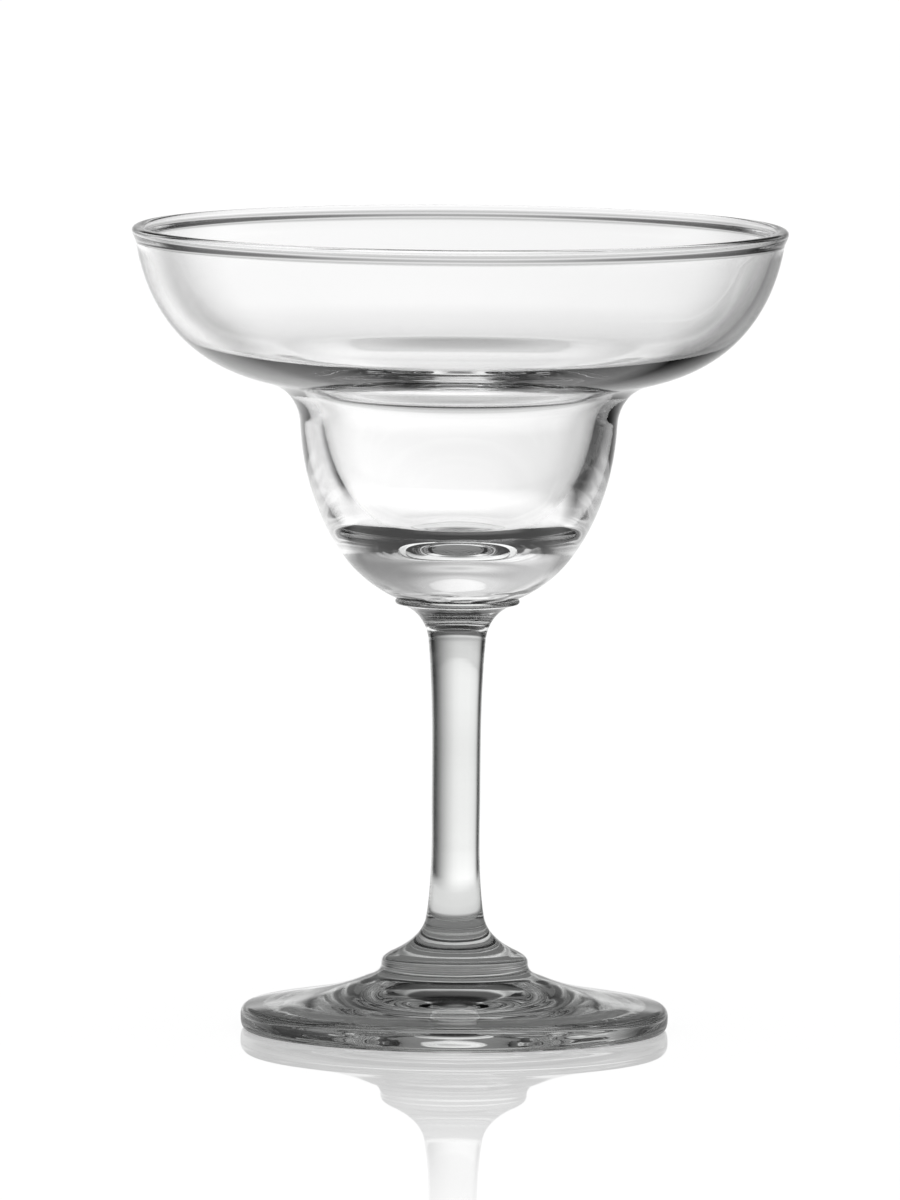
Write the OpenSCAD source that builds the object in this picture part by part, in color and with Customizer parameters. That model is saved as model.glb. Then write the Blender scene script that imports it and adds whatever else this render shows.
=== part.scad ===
// Margarita glass: a wide saucer that opens over a small thick cup, on a drawn stem
// between two discs and a pressed foot. Every piece is clear glass, turned about the
// z axis, and fused to the next one at a level seam. z = 0 is the table.
// All lengths are in millimetres and all slopes in degrees from level.

/* [Rim] */
// Widest diameter, over the fire-polished bead of the rim
rim_d = 110; // [100:1:120]
// Width of the bead, from its inside to its outside
bead_w = 2.2; // [2.2:0.1:3]
// How far the bead stands out from the wall below it
bead_lip = 0.7; // [0.4:0.1:1]
// Height of the bead, from where it leaves the wall to its crest
bead_h = 2.8; // [2:0.1:4]
// Height of the crest above the widest line of the bead
bead_crown = 0.8; // [0.5:0.1:1.2]
// Thickness of the wall just below the bead
rim_wall = 1.5; // [1:0.1:1.5]
// Slope of the outside just below the bead
rim_slope = 81; // [74:1:88]
// Slope of the inside just below the bead
rim_inner_slope = 79; // [72:1:86]

/* [Saucer] */
// Height of the saucer, from the neck to the crest of the rim
saucer_h = 33; // [30:0.5:38]
// Diameter where the side of the saucer turns into its floor
belly_d = 92; // [86:1:96]
// Height of that turn above the neck
belly_h = 13.7; // [12:0.1:16]
// Slope of the outside at that turn
belly_slope = 43; // [38:1:48]
// Thickness of the wall at that turn
belly_wall = 1.9; // [1.5:0.1:2.4]
// Slope of the inside at that turn
belly_inner_slope = 42; // [37:1:47]
// Diameter of the nearly level floor, where it meets the throat
floor_d = 68; // [62:1:74]
// Height of the floor's underside above the neck, at that diameter
floor_h = 7.4; // [6:0.1:9]
// Slope of the floor's underside there
floor_slope = 14; // [8:1:20]
// Thickness of the floor
floor_wall = 2.7; // [2.2:0.1:3.6]
// Slope of the floor's top side there
floor_inner_slope = 13; // [8:1:18]

/* [Throat] */
// Diameter in the middle of the rounded throat between the cup and the floor
throat_d = 57; // [55:0.5:60]
// Height of the middle of the throat above the neck
throat_h = 4.7; // [4:0.1:5.4]
// Slope of the outside in the middle of the throat
throat_slope = 49; // [42:1:56]
// Thickness of the wall in the middle of the throat
throat_wall = 3.1; // [2.5:0.1:3.8]
// Slope of the inside in the middle of the throat
throat_inner_slope = 47; // [41:1:53]
// Diameter of the neck, where the cup ends and the throat starts
neck_d = 53.2; // [51:0.2:55]
// Slope of the outside at the neck
neck_slope = 87; // [82:1:90]
// Thickness of the wall at the neck
neck_wall = 3.6; // [3:0.1:4.4]
// Slope of the inside at the neck
neck_inner_slope = 82; // [76:1:88]

/* [Cup] */
// Height of the cup, from the disc under it to the neck
cup_h = 29.5; // [26:0.5:34]
// Diameter at the rounded heel of the cup
heel_d = 38; // [35:0.5:41]
// Height of the heel above the disc
heel_h = 7; // [6:0.1:8]
// Slope of the outside at the heel
heel_slope = 53; // [48:1:58]
// Diameter of the inside where its wall turns towards the bottom
cup_turn_d = 34.8; // [32:0.2:36]
// Height of that turn above the disc
cup_turn_h = 14.9; // [14:0.1:16]
// Slope of the inside at that turn
cup_turn_slope = 53; // [47:1:58]
// Diameter of the dished bottom, inside that turn
cup_dish_d = 21.8; // [18:0.2:25]
// Height of the edge of the dished bottom above the disc
cup_dish_h = 10.7; // [10.3:0.1:12]
// Slope of the inside at that edge
cup_dish_slope = 22; // [15:1:30]
// Solid glass between the disc and the middle of the dished bottom
cup_floor_wall = 9.9; // [8:0.1:10.2]
// Diameter of the seam between the cup and the disc under it
cup_seat_d = 19.8; // [17:0.1:20.2]
// Slope at which the cup rises from that seam
cup_seat_slope = 23; // [16:1:30]

/* [Upper disc] */
// Diameter of the thin disc under the cup
upper_disc_d = 20.9; // [20.6:0.1:24]
// Height of the disc, from the stem's seam to the cup's seam
upper_disc_h = 1.1; // [0.9:0.1:1.6]
// Thickness of the disc at its rounded edge
upper_disc_edge = 0.8; // [0.5:0.1:0.8]

/* [Stem] */
// Length of the stem, from seam to seam
stem_h = 58.4; // [45:0.2:80]
// Diameter at the waist of the stem
stem_d = 8.2; // [6:0.1:11]
// Height of the waist above the lower seam
waist_h = 27; // [24:0.5:34]
// Diameter of the seam with the upper disc
stem_top_d = 17.8; // [16:0.1:19]
// Slope at which the upper flare meets its seam
stem_top_slope = 22; // [14:1:34]
// Height of the upper flare, down to where the stem looks straight
top_flare_h = 5.8; // [5:0.1:8]
// How much wider the stem is at the foot of the upper flare than at the waist
top_swell = 1.4; // [0.6:0.1:2]
// Diameter of the seam with the lower disc
stem_base_d = 21.4; // [18:0.1:22]
// Slope at which the lower flare meets its seam
stem_base_slope = 24; // [16:1:34]
// Height of the lower flare, up to where the stem looks straight
base_flare_h = 6; // [5:0.1:8]
// How much wider the stem is at the head of the lower flare than at the waist
base_swell = 1.5; // [0.6:0.1:2]

/* [Lower disc] */
// Widest diameter of the disc between the stem and the foot
lower_disc_d = 24.6; // [23:0.1:25]
// Height of the lower disc
lower_disc_h = 2.5; // [2:0.1:4]
// Height of its widest line above the foot
lower_disc_belt = 0.8; // [0.5:0.1:1.2]
// Slope of its shoulder at the stem's seam
lower_disc_slope = 30; // [20:1:45]

/* [Foot] */
// Widest diameter of the foot
foot_d = 71.8; // [64:0.2:80]
// Height of the foot, from the table to the lower disc
foot_h = 10.5; // [9.5:0.1:13]
// Diameter of the foot's crown, where the lower disc sits
crown_d = 24.8; // [24:0.1:27]
// Slope of the crown's side at the lower disc
crown_slope = 72; // [60:1:84]
// Diameter where the crown turns into the broad slope
knee_d = 31; // [29:0.5:34]
// Drop from the crown's top to that turn
knee_drop = 2; // [1.6:0.1:2.4]
// Slope of the foot at that turn
knee_slope = 23; // [18:1:28]
// Height of the foot's outer edge, from the table to the end of the broad slope
edge_h = 4; // [3:0.1:5]
// How far in the broad slope ends from the widest line
edge_round = 1.1; // [0.8:0.1:1.6]
// Slope of the foot where it meets its edge
edge_slope = 11; // [6:1:16]
// Height of the widest line above the table
edge_belt = 2.3; // [1.8:0.1:2.6]
// How far in the resting ring starts from the widest line
ring_inset = 1; // [0.6:0.1:1.4]
// Width of the ring that the glass rests on
ring_w = 3; // [2:0.1:4]
// Depth of the shallow hollow under the foot, at its middle
hollow_depth = 2.2; // [1:0.1:3]
// Slope at which the hollow leaves the resting ring
hollow_slope = 14; // [10:1:20]

/* [Hidden] */

// Colour of the clear glass, with a trace of green
glass = [0.86, 0.91, 0.90, 0.35];

// Sides of every turned surface, and straight steps in each curve of an outline
$fn = 96;
curve_steps = 5;

// Heights of the seams above the table
foot_seam = foot_h;
stem_seam = foot_seam + lower_disc_h;
upper_disc_seam = stem_seam + stem_h;
cup_seam = upper_disc_seam + upper_disc_h;
neck_z = cup_seam + cup_h;
crest_z = neck_z + saucer_h;
bead_z = crest_z - bead_crown;

// A station is a point of an outline and the way the outline heads there:
// [radius, height, heading], with a heading of 0 outwards and 90 straight up.
function point(station) = [station[0], station[1]];
function way(heading) = [cos(heading), sin(heading)];

// Turn from one heading to another, between -180 and 180
function turn(from, to) = (to - from + 540) % 360 - 180;

// Length of a curve's handles, chosen so that an even turn comes out as an arc
function handle(a, b) = norm(point(b) - point(a)) / (3 * pow(cos(turn(a[2], b[2]) / 4), 2));

// Point at the share t of the smooth curve from station a to station b
function between(a, b, t) =
    let (h = handle(a, b),
         leave = point(a) + h * way(a[2]),
         arrive = point(b) - h * way(b[2]))
    pow(1 - t, 3) * point(a) + 3 * t * pow(1 - t, 2) * leave
        + 3 * pow(t, 2) * (1 - t) * arrive + pow(t, 3) * point(b);

// Outline that runs smoothly through a list of stations
function outline(stations) =
    [for (k = [0 : len(stations) - 2], i = [0 : curve_steps])
        if (i > 0 || k == 0) between(stations[k], stations[k + 1], i / curve_steps)];

// The same place on the inner face of a wall, where the inner face has its own slope
function inside(station, wall, slope) =
    let (p = point(station) + wall * way(station[2] + 90)) [p[0], p[1], slope];

// A station passed the other way
function back(station) = [station[0], station[1], station[2] + 180];

// Outside of the bowl, from the seam on the disc up to the wall under the bead
cup_seat = [cup_seat_d / 2, cup_seam, cup_seat_slope];
heel = [heel_d / 2, cup_seam + heel_h, heel_slope];
neck = [neck_d / 2, neck_z, neck_slope];
throat = [throat_d / 2, neck_z + throat_h, throat_slope];
saucer_floor = [floor_d / 2, neck_z + floor_h, floor_slope];
belly = [belly_d / 2, neck_z + belly_h, belly_slope];
rim = [rim_d / 2 - bead_lip, crest_z - bead_h, rim_slope];

// The bead, over its outside, its crest and its inside
bead_out = [rim_d / 2, bead_z, 90];
bead_crest = [(rim_d - bead_w) / 2, crest_z, 180];
bead_in = [rim_d / 2 - bead_w, bead_z, 270];

// Inside of the bowl, from the bead down to the middle of the cup
rim_in = inside(rim, rim_wall, rim_inner_slope);
belly_in = inside(belly, belly_wall, belly_inner_slope);
floor_in = inside(saucer_floor, floor_wall, floor_inner_slope);
throat_in = inside(throat, throat_wall, throat_inner_slope);
neck_in = inside(neck, neck_wall, neck_inner_slope);
cup_turn = [cup_turn_d / 2, cup_seam + cup_turn_h, cup_turn_slope];
cup_dish = [cup_dish_d / 2, cup_seam + cup_dish_h, cup_dish_slope];
cup_bottom = [0, cup_seam + cup_floor_wall, 0];

module turned(points) {
    color(glass) rotate_extrude() polygon(points);
}

// The blown bowl: the saucer and the cup are one wall, thin at the rim and thick in the cup
module bowl() {
    outside = [cup_seat, heel, neck, throat, saucer_floor, belly, rim];
    bead = [bead_out, bead_crest, bead_in];
    hollow = [rim_in, belly_in, floor_in, throat_in, neck_in, cup_turn, cup_dish, cup_bottom];
    turned(concat([[0, cup_seam]],
                  outline(concat(outside, bead, [for (s = hollow) back(s)]))));
}

// The thin disc that the bowl is seated on, with a rounded edge and a sloping underside
module upper_disc() {
    edge_r = upper_disc_edge / 2;
    edge_x = upper_disc_d / 2 - edge_r;
    turned(concat([[0, cup_seam], [0, upper_disc_seam], [stem_top_d / 2, upper_disc_seam]],
                  outline([[edge_x, cup_seam - upper_disc_edge, 0],
                           [upper_disc_d / 2, cup_seam - edge_r, 90],
                           [edge_x, cup_seam, 180]])));
}

// The drawn stem, nearly straight between a flare at each end
module stem() {
    turned(concat([[0, upper_disc_seam], [0, stem_seam]],
                  outline([[stem_base_d / 2, stem_seam, 180 - stem_base_slope],
                           [(stem_d + base_swell) / 2, stem_seam + base_flare_h, 99],
                           [stem_d / 2, stem_seam + waist_h, 90],
                           [(stem_d + top_swell) / 2, upper_disc_seam - top_flare_h, 85],
                           [stem_top_d / 2, upper_disc_seam, stem_top_slope]])));
}

// The rounded disc between the stem and the foot
module lower_disc() {
    turned(concat([[0, stem_seam], [0, foot_seam]],
                  outline([[crown_d / 2, foot_seam, 180 - crown_slope],
                           [lower_disc_d / 2, foot_seam + lower_disc_belt, 90],
                           [stem_base_d / 2, stem_seam, 180 - lower_disc_slope]])));
}

// The pressed foot: a crown that falls to a broad slope, a rounded edge, a resting ring
// and a shallow hollow underneath
module foot() {
    ring_out = foot_d / 2 - ring_inset;
    turned(concat([[0, foot_seam]],
                  outline([[0, hollow_depth, 0],
                           [ring_out - ring_w, 0, -hollow_slope]]),
                  outline([[ring_out, 0, 0],
                           [foot_d / 2, edge_belt, 90],
                           [foot_d / 2 - edge_round, edge_h, 180 - edge_slope],
                           [knee_d / 2, foot_seam - knee_drop, 180 - knee_slope],
                           [crown_d / 2, foot_seam, 180 - crown_slope]])));
}

foot();
lower_disc();
stem();
upper_disc();
bowl();
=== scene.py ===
import math

import bmesh
import bpy
from mathutils import Matrix, Vector
from mathutils.geometry import interpolate_bezier


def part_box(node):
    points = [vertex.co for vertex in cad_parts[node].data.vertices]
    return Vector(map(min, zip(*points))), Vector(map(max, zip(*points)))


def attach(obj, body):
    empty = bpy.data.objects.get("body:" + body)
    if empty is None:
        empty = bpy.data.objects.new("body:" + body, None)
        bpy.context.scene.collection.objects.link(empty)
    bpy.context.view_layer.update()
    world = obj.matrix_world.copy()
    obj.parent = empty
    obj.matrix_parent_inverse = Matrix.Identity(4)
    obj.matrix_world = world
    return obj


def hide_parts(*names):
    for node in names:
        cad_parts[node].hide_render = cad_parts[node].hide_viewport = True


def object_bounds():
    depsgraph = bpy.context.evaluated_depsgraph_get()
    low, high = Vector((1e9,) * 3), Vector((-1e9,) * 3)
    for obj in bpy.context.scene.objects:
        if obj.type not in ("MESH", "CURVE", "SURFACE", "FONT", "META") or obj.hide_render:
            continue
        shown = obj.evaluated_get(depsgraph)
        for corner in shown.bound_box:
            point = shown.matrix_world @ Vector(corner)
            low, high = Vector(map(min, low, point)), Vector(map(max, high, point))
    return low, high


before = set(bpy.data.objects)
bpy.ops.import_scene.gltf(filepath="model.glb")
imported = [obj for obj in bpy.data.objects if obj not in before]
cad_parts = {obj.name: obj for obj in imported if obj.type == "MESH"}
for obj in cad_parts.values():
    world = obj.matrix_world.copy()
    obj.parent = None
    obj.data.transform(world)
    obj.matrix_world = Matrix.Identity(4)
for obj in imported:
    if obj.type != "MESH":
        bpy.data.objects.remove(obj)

cad_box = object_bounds()
mm = 0.001
glass_h = cad_box[1].z / mm


# The foot: soda-lime glass pressed in a ring mould, then fire-polished. It has a crown that
# carries the disc above, a broad slope, a rounded edge, a ring that it rests on, and a shallow
# hollow underneath. It is fused to the disc at the level top of its crown.
ring_steps = 192
curve_steps = 12
touching = 0.001
sharp_turn = 13


def heading(degrees):
    """Unit direction in the XZ plane: 0 points outwards and 90 straight up."""
    return Vector((math.cos(math.radians(degrees)), 0, math.sin(math.radians(degrees))))


def outline(stations):
    """Points of the smooth line through (radius, height, heading) stations in mm. Between two
    stations that lie on one arc, it follows that arc."""
    points = []
    for (r0, z0, a0), (r1, z1, a1) in zip(stations, stations[1:]):
        start, end = Vector((r0, 0, z0)) * mm, Vector((r1, 0, z1)) * mm
        turn = math.radians((a1 - a0 + 180) % 360 - 180)
        handle = (end - start).length / (3 * math.cos(turn / 4) ** 2)
        curve = interpolate_bezier(start, start + handle * heading(a0),
                                   end - handle * heading(a1), end, curve_steps + 1)
        points += curve[1:] if points else curve
    return points


def turned(name, lines, seams, materials):
    """Spins one closed piece from its lines. The faces on a seam's height are its fused faces."""
    shell = bmesh.new()
    points = [point for line in lines for point in line]
    points = points[:1] + [b for a, b in zip(points, points[1:]) if (b - a).length > touching * mm]
    verts = [shell.verts.new(point) for point in points]
    edges = [shell.edges.new(pair) for pair in zip(verts, verts[1:])]
    bmesh.ops.spin(shell, geom=verts + edges, axis=(0, 0, 1), angle=2 * math.pi,
                   steps=ring_steps, use_merge=True)
    bmesh.ops.remove_doubles(shell, verts=shell.verts, dist=touching / 2 * mm)
    bmesh.ops.recalc_face_normals(shell, faces=shell.faces)
    for face in shell.faces:
        face.smooth = True
        for height in seams:
            if all(abs(v.co.z - height * mm) < touching * mm for v in face.verts):
                face.material_index = 1
    mesh = bpy.data.meshes.new(name)
    shell.to_mesh(mesh)
    shell.free()
    mesh.set_sharp_from_angle(angle=math.radians(sharp_turn))
    for material in materials:
        mesh.materials.append(material)
    piece = bpy.data.objects.new(name, mesh)
    bpy.context.collection.objects.link(piece)
    return piece


def ink(code):
    """Linear colour of an sRGB hex value."""
    parts = [int(code[k:k + 2], 16) / 255 for k in (1, 3, 5)]
    return [c / 12.92 if c < 0.04045 else ((c + 0.055) / 1.055) ** 2.4 for c in parts] + [1]


def grey(tone):
    """Linear grey for a stop of a ramp."""
    return (tone, tone, tone, 1)


def add_node(owner, kind, settings=None, links=None, stops=None, **options):
    """Adds a node with its options, socket settings, links, and (place, colour) stops of a ramp."""
    node = owner.node_tree.nodes.new(kind)
    for option, value in options.items():
        setattr(node, option, value)
    for socket, value in (settings or {}).items():
        node.inputs[socket].default_value = value
    for socket, source in (links or {}).items():
        owner.node_tree.links.new(source, node.inputs[socket])
    if stops:
        band = node.color_ramp.elements
        band.remove(band[1])
        band[0].position = stops[0][0]
        band[0].color = stops[0][1]
        for place, tone in stops[1:]:
            band.new(place).color = tone
    return node


def new_material(name):
    """An empty node material."""
    material = bpy.data.materials.new(name)
    material.use_nodes = True
    material.node_tree.nodes.clear()
    return material


def clear_glass(name, tint, ripple, turning, joints):
    """Colourless soda-lime glass. Ripple and turning are (spacing, relief) in mm of the soft waves
    and of the level lines. Joints are (height in mm, strength) stops for the marks of the tools."""
    line_length = 14 * mm
    mark_length = 7 * mm
    mark_height = 1.2 * mm
    mark_relief = 0.12 * mm
    glass = new_material(name)
    place = add_node(glass, "ShaderNodeTexCoord")
    ripples = add_node(glass, "ShaderNodeTexNoise", {"Scale": 1 / (ripple[0] * mm), "Detail": 1.0},
                       {"Vector": place.outputs["Object"]})
    soft = add_node(glass, "ShaderNodeBump", {"Strength": 1.0, "Distance": ripple[1] * mm},
                    {"Height": ripples.outputs["Fac"]})
    drawn = add_node(glass, "ShaderNodeMapping",
                     {"Scale": (1 / line_length, 1 / line_length, 1 / (turning[0] * mm))},
                     {"Vector": place.outputs["Object"]})
    lines = add_node(glass, "ShaderNodeTexNoise", {"Scale": 1.0, "Detail": 2.0},
                     {"Vector": drawn.outputs["Vector"]})
    fine = add_node(glass, "ShaderNodeBump", {"Strength": 1.0, "Distance": turning[1] * mm},
                    {"Height": lines.outputs["Fac"], "Normal": soft.outputs["Normal"]})
    tooled = add_node(glass, "ShaderNodeMapping",
                      {"Scale": (1 / mark_length, 1 / mark_length, 1 / mark_height)},
                      {"Vector": place.outputs["Object"]})
    jags = add_node(glass, "ShaderNodeTexNoise", {"Scale": 1.0, "Detail": 1.0},
                    {"Vector": tooled.outputs["Vector"]})
    parts = add_node(glass, "ShaderNodeSeparateXYZ", links={"Vector": place.outputs["Object"]})
    height = add_node(glass, "ShaderNodeMath", {1: glass_h * mm}, {0: parts.outputs["Z"]},
                      operation="DIVIDE")
    near_joint = add_node(glass, "ShaderNodeValToRGB", links={"Fac": height.outputs[0]},
                          stops=[(z / glass_h, grey(tone)) for z, tone in joints])
    marks = add_node(glass, "ShaderNodeBump", {"Distance": mark_relief},
                     {"Strength": near_joint.outputs["Color"], "Height": jags.outputs["Fac"],
                      "Normal": fine.outputs["Normal"]})
    shader = add_node(glass, "ShaderNodeBsdfPrincipled",
                      {"Base Color": ink(tint), "Roughness": 0.0, "IOR": 1.52,
                       "Transmission Weight": 1.0}, {"Normal": marks.outputs["Normal"]})
    add_node(glass, "ShaderNodeOutputMaterial", links={"Surface": shader.outputs["BSDF"]})
    return glass, shader, parts


foot_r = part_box("foot")[1].x / mm
foot_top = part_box("foot")[1].z / mm
crown_r = 12.4
crown_heading = 108
knee_r = 15.5
knee_drop = 2
edge_h = 4
edge_round = 1.1
edge_belt = 2.3
ring_inset = 1
ring_w = 3
hollow_depth = 2.2

# Pressed glass, which the fire has polished: a mirror gloss over faint mould ripples 6 mm apart,
# with a trace of grey where the glass is thick
pressed_glass, pressed_shader, pressed_parts = clear_glass(
    "pressed_soda_lime_glass", "#F0F1F0", ripple=(6, 0.02), turning=(1.2, 0.004),
    joints=[(0, 0.03), (2.5, 0.07), (edge_h, 0.03), (foot_top - knee_drop, 0.03), (foot_top, 0.12)])

# The ring that the glass stands on is scuffed grey, up to 0.15 mm from the table
scuff_low = 0.05 * mm
scuff_high = 0.15 * mm
scuff = add_node(pressed_glass, "ShaderNodeMapRange",
                 {"From Min": scuff_low, "From Max": scuff_high, "To Min": 0.35, "To Max": 0.0},
                 {"Value": pressed_parts.outputs["Z"]})
pressed_glass.node_tree.links.new(scuff.outputs[0], pressed_shader.inputs["Roughness"])

# The level face where two pieces melted into each other: nothing of it is left to see
fused_seam = new_material("fused_seam")
clear = add_node(fused_seam, "ShaderNodeBsdfTransparent")
add_node(fused_seam, "ShaderNodeOutputMaterial", links={"Surface": clear.outputs["BSDF"]})

foot = turned("foot", [
    outline([(0, hollow_depth, 0), (foot_r - ring_inset - ring_w, 0, -14)]),
    outline([(foot_r - ring_inset, 0, 0), (foot_r, edge_belt, 90),
             (foot_r - edge_round, edge_h, 169), (knee_r, foot_top - knee_drop, 157),
             (crown_r, foot_top, crown_heading)]),
    outline([(crown_r, foot_top, 180), (0, foot_top, 180)]),
], [foot_top], [pressed_glass, fused_seam])
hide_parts("foot")
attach(foot, "root")


# The lower disc, which glassmakers call a merese: a small gather of the same glass, rounded by
# its own melting, that joins the foot to the stem. It is fused on both of its level faces.
disc_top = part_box("lower_disc")[1].z / mm
stem_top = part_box("stem")[1].z / mm
belt_r = 12.3
belt_h = 0.8
stem_base_r = 10.7

# Drawn and hand-joined glass is smoother than pressed glass, with a trace of grey in its depth and
# with jagged marks of the jacks and of the pull near each joint
drawn_glass = clear_glass(
    "drawn_soda_lime_glass", "#EAEBEA", ripple=(9, 0.012), turning=(0.9, 0.003),
    joints=[(foot_top - 0.5, 0.15), (disc_top, 0.2), (disc_top + 3, 0.12), (disc_top + 8, 0.01),
            (stem_top - 9.4, 0.01), (stem_top - 4.4, 0.12), (stem_top - 0.4, 0.2),
            (stem_top + 1.6, 0.2)])[0]

lower_disc = turned("lower_disc", [
    outline([(0, foot_top, 0), (crown_r, foot_top, 0)]),
    outline([(crown_r, foot_top, crown_heading), (belt_r, foot_top + belt_h, 90),
             (stem_base_r, disc_top, 150)]),
    outline([(stem_base_r, disc_top, 180), (0, disc_top, 180)]),
], [foot_top, disc_top], [drawn_glass, fused_seam])
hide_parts("lower_disc")
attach(lower_disc, "root")


# The stem: a solid rod drawn from a hot gather, nearly straight between a flare at each end.
# Its flares are fused to the two discs.
stem_top_r = 8.9
top_flare_h = 5.8
top_swell = 0.7
waist_r = 4.1
waist_h = 27
base_flare_h = 6
base_swell = 0.75
stem = turned("stem", [
    outline([(0, disc_top, 0), (stem_base_r, disc_top, 0)]),
    outline([(stem_base_r, disc_top, 156), (waist_r + base_swell, disc_top + base_flare_h, 99),
             (waist_r, disc_top + waist_h, 90), (waist_r + top_swell, stem_top - top_flare_h, 85),
             (stem_top_r, stem_top, 22)]),
    outline([(stem_top_r, stem_top, 180), (0, stem_top, 180)]),
], [disc_top, stem_top], [drawn_glass, fused_seam])
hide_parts("stem")
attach(stem, "root")


# The upper disc: a thin merese with a melted round edge. The stem is fused under it, and the
# bowl on the middle of its top.
seat_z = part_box("upper_disc")[1].z / mm
seat_r = 9.9
upper_disc_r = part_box("upper_disc")[1].x / mm
edge_t = 0.8
edge_r = upper_disc_r - edge_t / 2
upper_disc = turned("upper_disc", [
    outline([(0, stem_top, 0), (stem_top_r, stem_top, 0)]),
    outline([(stem_top_r, stem_top, 10), (edge_r, seat_z - edge_t, 10)]),
    outline([(edge_r, seat_z - edge_t, 0), (upper_disc_r, seat_z - edge_t / 2, 90),
             (edge_r, seat_z, 180)]),
    outline([(seat_r, seat_z, 180), (0, seat_z, 180)]),
], [stem_top], [drawn_glass, fused_seam])
for face in upper_disc.data.polygons:
    if face.center.z > (seat_z - touching) * mm and face.center.xy.length < seat_r * mm:
        face.material_index = 1
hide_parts("upper_disc")
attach(upper_disc, "root")


# The bowl: blown soda-lime glass, one wall that opens from a thick-bottomed cup over a rounded
# throat into a wide saucer. Its rim was cut free and melted to a round bead.
crest_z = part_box("bowl")[1].z / mm
rim_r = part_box("bowl")[1].x / mm
bead_w = 2.2
bead_lip = 0.7
bead_h = 2.8
bead_crown = 0.8
rim_wall = 1.5
belly_wall = 1.9
floor_wall = 2.7
throat_wall = 3.1
neck_wall = 3.6
cup_floor_wall = 9.9
saucer_h = 33
neck_z = crest_z - saucer_h

# Stations of the outer face, from the cup up to the rim
heel = (19, seat_z + 7, 53)
neck = (26.6, neck_z, 87)
throat = (28.5, neck_z + 4.7, 49)
saucer_floor = (34, neck_z + 7.4, 14)
belly = (46, neck_z + 13.7, 43)
wall_top = (rim_r - bead_lip, crest_z - bead_h, 81)


def inside(station, wall, slope):
    """The same place on the inner face of a wall of that thickness."""
    r, z, a = station
    return (r - wall * math.sin(math.radians(a)), z + wall * math.cos(math.radians(a)), slope)


hollow = [inside(wall_top, rim_wall, 79), inside(belly, belly_wall, 42),
          inside(saucer_floor, floor_wall, 13), inside(throat, throat_wall, 47),
          inside(neck, neck_wall, 82), (17.4, seat_z + 14.9, 53), (10.9, seat_z + 10.7, 22),
          (0, seat_z + cup_floor_wall, 0)]

# Blown glass, turned against a wet wood block: long soft ripples and faint level lines, with
# tool marks where it was stuck to the disc and where its floor was pushed out
blown_glass = clear_glass(
    "blown_soda_lime_glass", "#FFFFFF", ripple=(16, 0.01), turning=(1.4, 0.0008),
    joints=[(seat_z - 0.5, 1.0), (seat_z + 1.6, 1.0), (seat_z + 2.4, 0.1), (seat_z + 4.5, 0.01),
            (seat_z + 7.5, 0), (neck_z + 2, 0), (neck_z + 6, 0.02), (neck_z + 9, 0.02),
            (neck_z + 12, 0)])[0]

bowl = turned("bowl", [
    outline([(0, seat_z, 0), (seat_r, seat_z, 0)]),
    outline([(seat_r, seat_z, 23), heel, neck, throat, saucer_floor, belly, wall_top,
             (rim_r, crest_z - bead_crown, 90), (rim_r - bead_w / 2, crest_z, 180),
             (rim_r - bead_w, crest_z - bead_crown, 270)] + [(r, z, a + 180) for r, z, a in hollow]),
], [seat_z], [blown_glass, fused_seam])
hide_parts("bowl")
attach(bowl, "root")


# The table: a sheet of gloss white acrylic, which runs back as the backdrop too. It mirrors the foot
# at a low angle. In the glass its glow shows a painted shadow under the foot, and further out
# painted light and dark from the studio's sides.
sheet_half = 30
sheet_gap = 0.02 * mm
sheet = bmesh.new()
bmesh.ops.create_grid(sheet, x_segments=1, y_segments=1, size=sheet_half)
bmesh.ops.translate(sheet, verts=sheet.verts, vec=(0, 0, -sheet_gap))
table_mesh = bpy.data.meshes.new("table")
sheet.to_mesh(table_mesh)
sheet.free()
table = bpy.data.objects.new("table", table_mesh)
bpy.context.collection.objects.link(table)

# Brightness of the studio by bearing in degrees: 0 is behind the glass, and 90 to its right
sides = [(-180, 0.9), (-120, 0.8), (-90, 0.95), (-74, 0.5), (-62, 0.04), (-54, 0.02),
         (-49, 0.25), (-43, 0.66), (-35, 0.84), (-20, 0.94), (-5, 0.93), (3, 0.86),
         (12, 0.68), (25, 0.37), (35, 0.12), (43, 0.02), (52, 0.03), (64, 0.25),
         (84, 0.9), (100, 0.95), (135, 0.8), (180, 0.9)]

# Painted brightness of the table's glow by distance in metres, as the glass shows it: a painted
# shadow under the foot with painted light round it, and painted light over the open sheet, dimmed by
# the studio's sides painted on it. One passes into the other between open_from and open_to.
painted_shade_round_foot = [(0.046, 0.24), (0.054, 0.85), (0.08, 1.1), (0.13, 1.0)]
painted_light_on_sheet = [(0.13, 1.5), (0.2, 1.35), (0.27, 1.15), (0.5, 1.06), (0.8, 1.15), (1.3, 1.16),
              (2.2, 1.08), (3, 0.87)]
table_reach = painted_light_on_sheet[-1][0]
open_from = 0.11
open_to = 0.15

# The camera sees plain white: a glow, and a matt share that takes the shadow of the glass. The
# mirror of the glass fades out away from the foot.
camera_glow = 0.88
matt_share = 0.16
mirror_from = 0.036
mirror_to = 0.3


def studio_side(owner, direction):
    """Brightness of the studio's sides in that direction."""
    parts = add_node(owner, "ShaderNodeSeparateXYZ", links={"Vector": direction})
    bearing = add_node(owner, "ShaderNodeMath",
                       links={0: parts.outputs["X"], 1: parts.outputs["Y"]}, operation="ARCTAN2")
    share = add_node(owner, "ShaderNodeMapRange", {"From Min": -math.pi, "From Max": math.pi},
                     {"Value": bearing.outputs[0]})
    return add_node(owner, "ShaderNodeValToRGB", links={"Fac": share.outputs[0]},
                    stops=[(0.5 + degrees / 360, grey(tone)) for degrees, tone in sides]).outputs[0]


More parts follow.
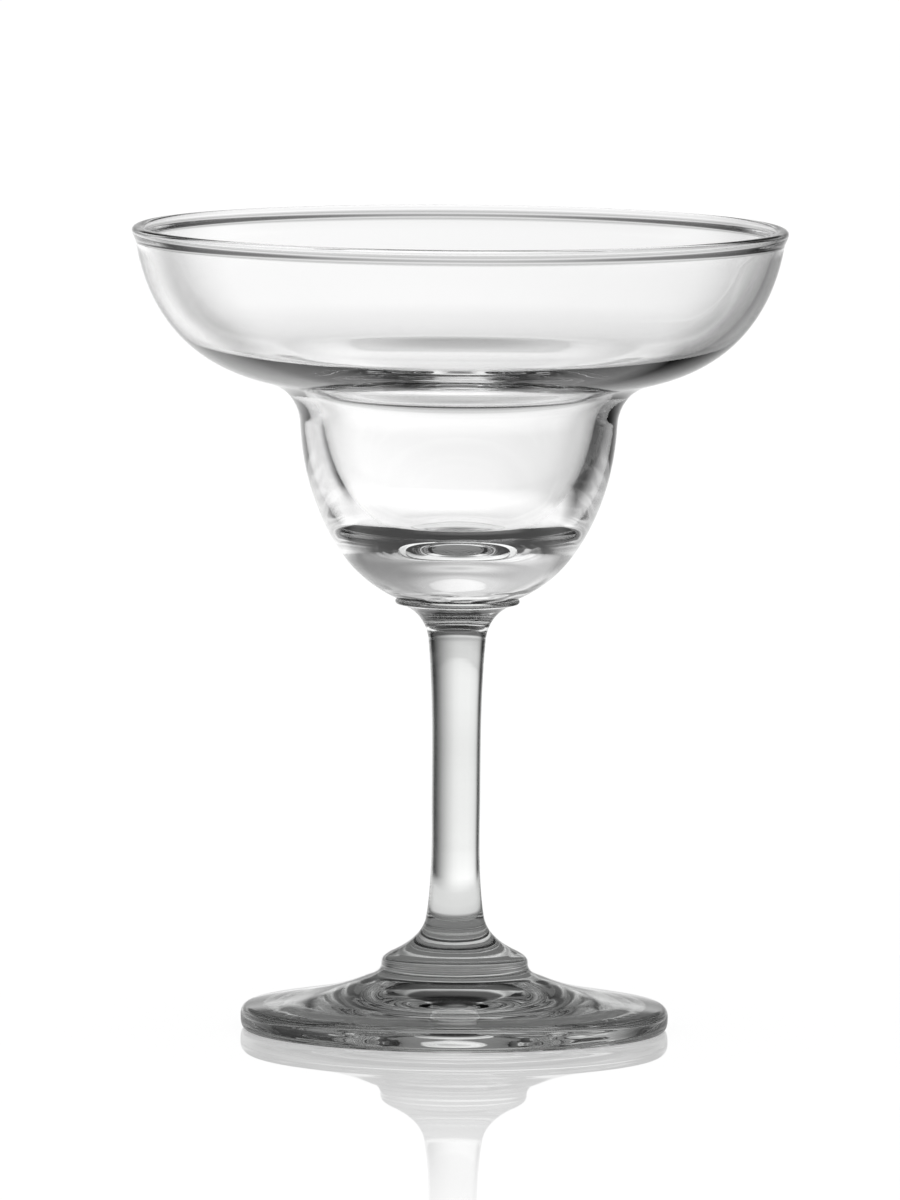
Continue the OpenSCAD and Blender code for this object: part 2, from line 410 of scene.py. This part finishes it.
acrylic = new_material("gloss_white_acrylic")
place = add_node(acrylic, "ShaderNodeTexCoord")
# The table's glow is painted with the studio's light and dark sides by bearing
far_side = studio_side(acrylic, place.outputs["Object"])
radius = add_node(acrylic, "ShaderNodeVectorMath", links={0: place.outputs["Object"]},
                  operation="LENGTH")
reach = add_node(acrylic, "ShaderNodeMath", {1: table_reach}, {0: radius.outputs["Value"]},
                 operation="DIVIDE")
level = add_node(acrylic, "ShaderNodeValToRGB", links={"Fac": reach.outputs[0]},
                 stops=[(r / table_reach, grey(tone)) for r, tone in painted_light_on_sheet])
lit = add_node(acrylic, "ShaderNodeMath", links={0: far_side, 1: level.outputs[0]},
               operation="MULTIPLY")
# Painted shadow under the foot, with painted light round it
shade = add_node(acrylic, "ShaderNodeValToRGB", links={"Fac": reach.outputs[0]},
                 stops=[(r / table_reach, grey(tone)) for r, tone in painted_shade_round_foot])
near = add_node(acrylic, "ShaderNodeMapRange",
                {"From Min": open_from, "From Max": open_to, "To Min": 1, "To Max": 0},
                {"Value": radius.outputs["Value"]})
# Rays from the glass see the painted shadow near the foot and the painted light further out
through = add_node(acrylic, "ShaderNodeMix",
                   links={"Factor": near.outputs[0], "A": lit.outputs[0], "B": shade.outputs[0]})
ray = add_node(acrylic, "ShaderNodeLightPath")
glow = add_node(acrylic, "ShaderNodeMix", {"B": camera_glow},
                {"Factor": ray.outputs["Is Camera Ray"], "A": through.outputs["Result"]})
white = add_node(acrylic, "ShaderNodeEmission", {"Color": ink("#FFFFFF")},
                 {"Strength": glow.outputs["Result"]})
dull = add_node(acrylic, "ShaderNodeMath", {1: matt_share}, {0: ray.outputs["Is Camera Ray"]},
                operation="MULTIPLY")
matt = add_node(acrylic, "ShaderNodeBsdfDiffuse", links={"Color": dull.outputs[0]})
body = add_node(acrylic, "ShaderNodeAddShader", links={0: white.outputs[0], 1: matt.outputs[0]})
gloss = add_node(acrylic, "ShaderNodeBsdfGlossy", {"Color": ink("#FFFFFF"), "Roughness": 0.015})
fresnel = add_node(acrylic, "ShaderNodeFresnel", {"IOR": 1.5})
fade = add_node(acrylic, "ShaderNodeMapRange",
                {"From Min": mirror_from, "From Max": mirror_to, "To Min": 1, "To Max": 0},
                {"Value": radius.outputs["Value"]})
shine = add_node(acrylic, "ShaderNodeMath", links={0: fresnel.outputs[0], 1: fade.outputs[0]},
                 operation="MULTIPLY")
coated = add_node(acrylic, "ShaderNodeMixShader",
                  links={0: shine.outputs[0], 1: body.outputs[0], 2: gloss.outputs[0]})
add_node(acrylic, "ShaderNodeOutputMaterial", links={"Surface": coated.outputs[0]})
table_mesh.materials.append(acrylic)


# The studio: a white sweep that glows low down behind and beside the glass, with black boards
# that draw the dark edges of the glass, under a nearly black ceiling. The camera, the table's
# matt share and its mirror see plain white instead.
ceiling = 0.015

# Ray Depth is 2 at the world after one bounce, so this lies between one bounce and two
one_bounce = 2.5

# Brightness of the sweep by degrees above the table
heights = [(0, 0.86), (4, 0.62), (6, 0.58), (8, 0.7), (10, 0.9), (11, 0.85), (12, 0.6),
           (14, 0.2), (16, 0.12), (24, 0.1), (30, 0)]

studio = bpy.data.worlds.new("studio")
bpy.context.scene.world = studio
studio.use_nodes = True
studio.node_tree.nodes.clear()
place = add_node(studio, "ShaderNodeTexCoord")
parts = add_node(studio, "ShaderNodeSeparateXYZ", links={"Vector": place.outputs["Generated"]})
low = add_node(studio, "ShaderNodeValToRGB", links={"Fac": parts.outputs["Z"]},
               stops=[(math.sin(math.radians(degrees)), grey(tone)) for degrees, tone in heights])
far_side = studio_side(studio, place.outputs["Generated"])
sweep = add_node(studio, "ShaderNodeMath", links={0: far_side, 1: low.outputs[0]},
                 operation="MULTIPLY")
around = add_node(studio, "ShaderNodeMath", {1: ceiling}, {0: sweep.outputs[0]}, operation="ADD")
ray = add_node(studio, "ShaderNodeLightPath")
first = add_node(studio, "ShaderNodeMath", {1: one_bounce}, {0: ray.outputs["Ray Depth"]},
                 operation="LESS_THAN")
# The table's gloss has a trace of roughness, which tells its rays from the glass's own mirror
satin = add_node(studio, "ShaderNodeMath",
                 links={0: ray.outputs["Is Glossy Ray"], 1: ray.outputs["Is Singular Ray"]},
                 operation="SUBTRACT")
mirror = add_node(studio, "ShaderNodeMath", links={0: first.outputs[0], 1: satin.outputs[0]},
                  operation="MULTIPLY")
direct = add_node(studio, "ShaderNodeMath",
                  links={0: ray.outputs["Is Camera Ray"], 1: ray.outputs["Is Diffuse Ray"]},
                  operation="MAXIMUM")
plain = add_node(studio, "ShaderNodeMath", links={0: direct.outputs[0], 1: mirror.outputs[0]},
                 operation="MAXIMUM")
seen = add_node(studio, "ShaderNodeMix", {"B": 1.0},
                {"Factor": plain.outputs[0], "A": around.outputs[0]})
sky = add_node(studio, "ShaderNodeBackground", {"Color": ink("#FFFFFF")},
               {"Strength": seen.outputs["Result"]})
add_node(studio, "ShaderNodeOutputWorld", links={"Surface": sky.outputs["Background"]})


# The camera stands 2.9 m away and 0.2 m above the rim, with a long lens
camera_place = (-1.25 * mm, -2.9, 0.3403)
look_down = 5.28
roll = 0.45
camera_data = bpy.data.cameras.new("camera")
camera_data.lens = 521
camera_data.sensor_width = 36
camera_data.clip_end = 50
camera = bpy.data.objects.new("camera", camera_data)
bpy.context.collection.objects.link(camera)
camera.matrix_world = (Matrix.Translation(camera_place)
                       @ Matrix.Rotation(math.radians(90 - look_down), 4, "X")
                       @ Matrix.Rotation(math.radians(roll), 4, "Z"))

scene = bpy.context.scene
scene.camera = camera
scene.view_settings.view_transform = "Standard"
scene.cycles.max_bounces = 24
scene.cycles.transmission_bounces = 24
scene.cycles.glossy_bounces = 16
scene.cycles.transparent_max_bounces = 24
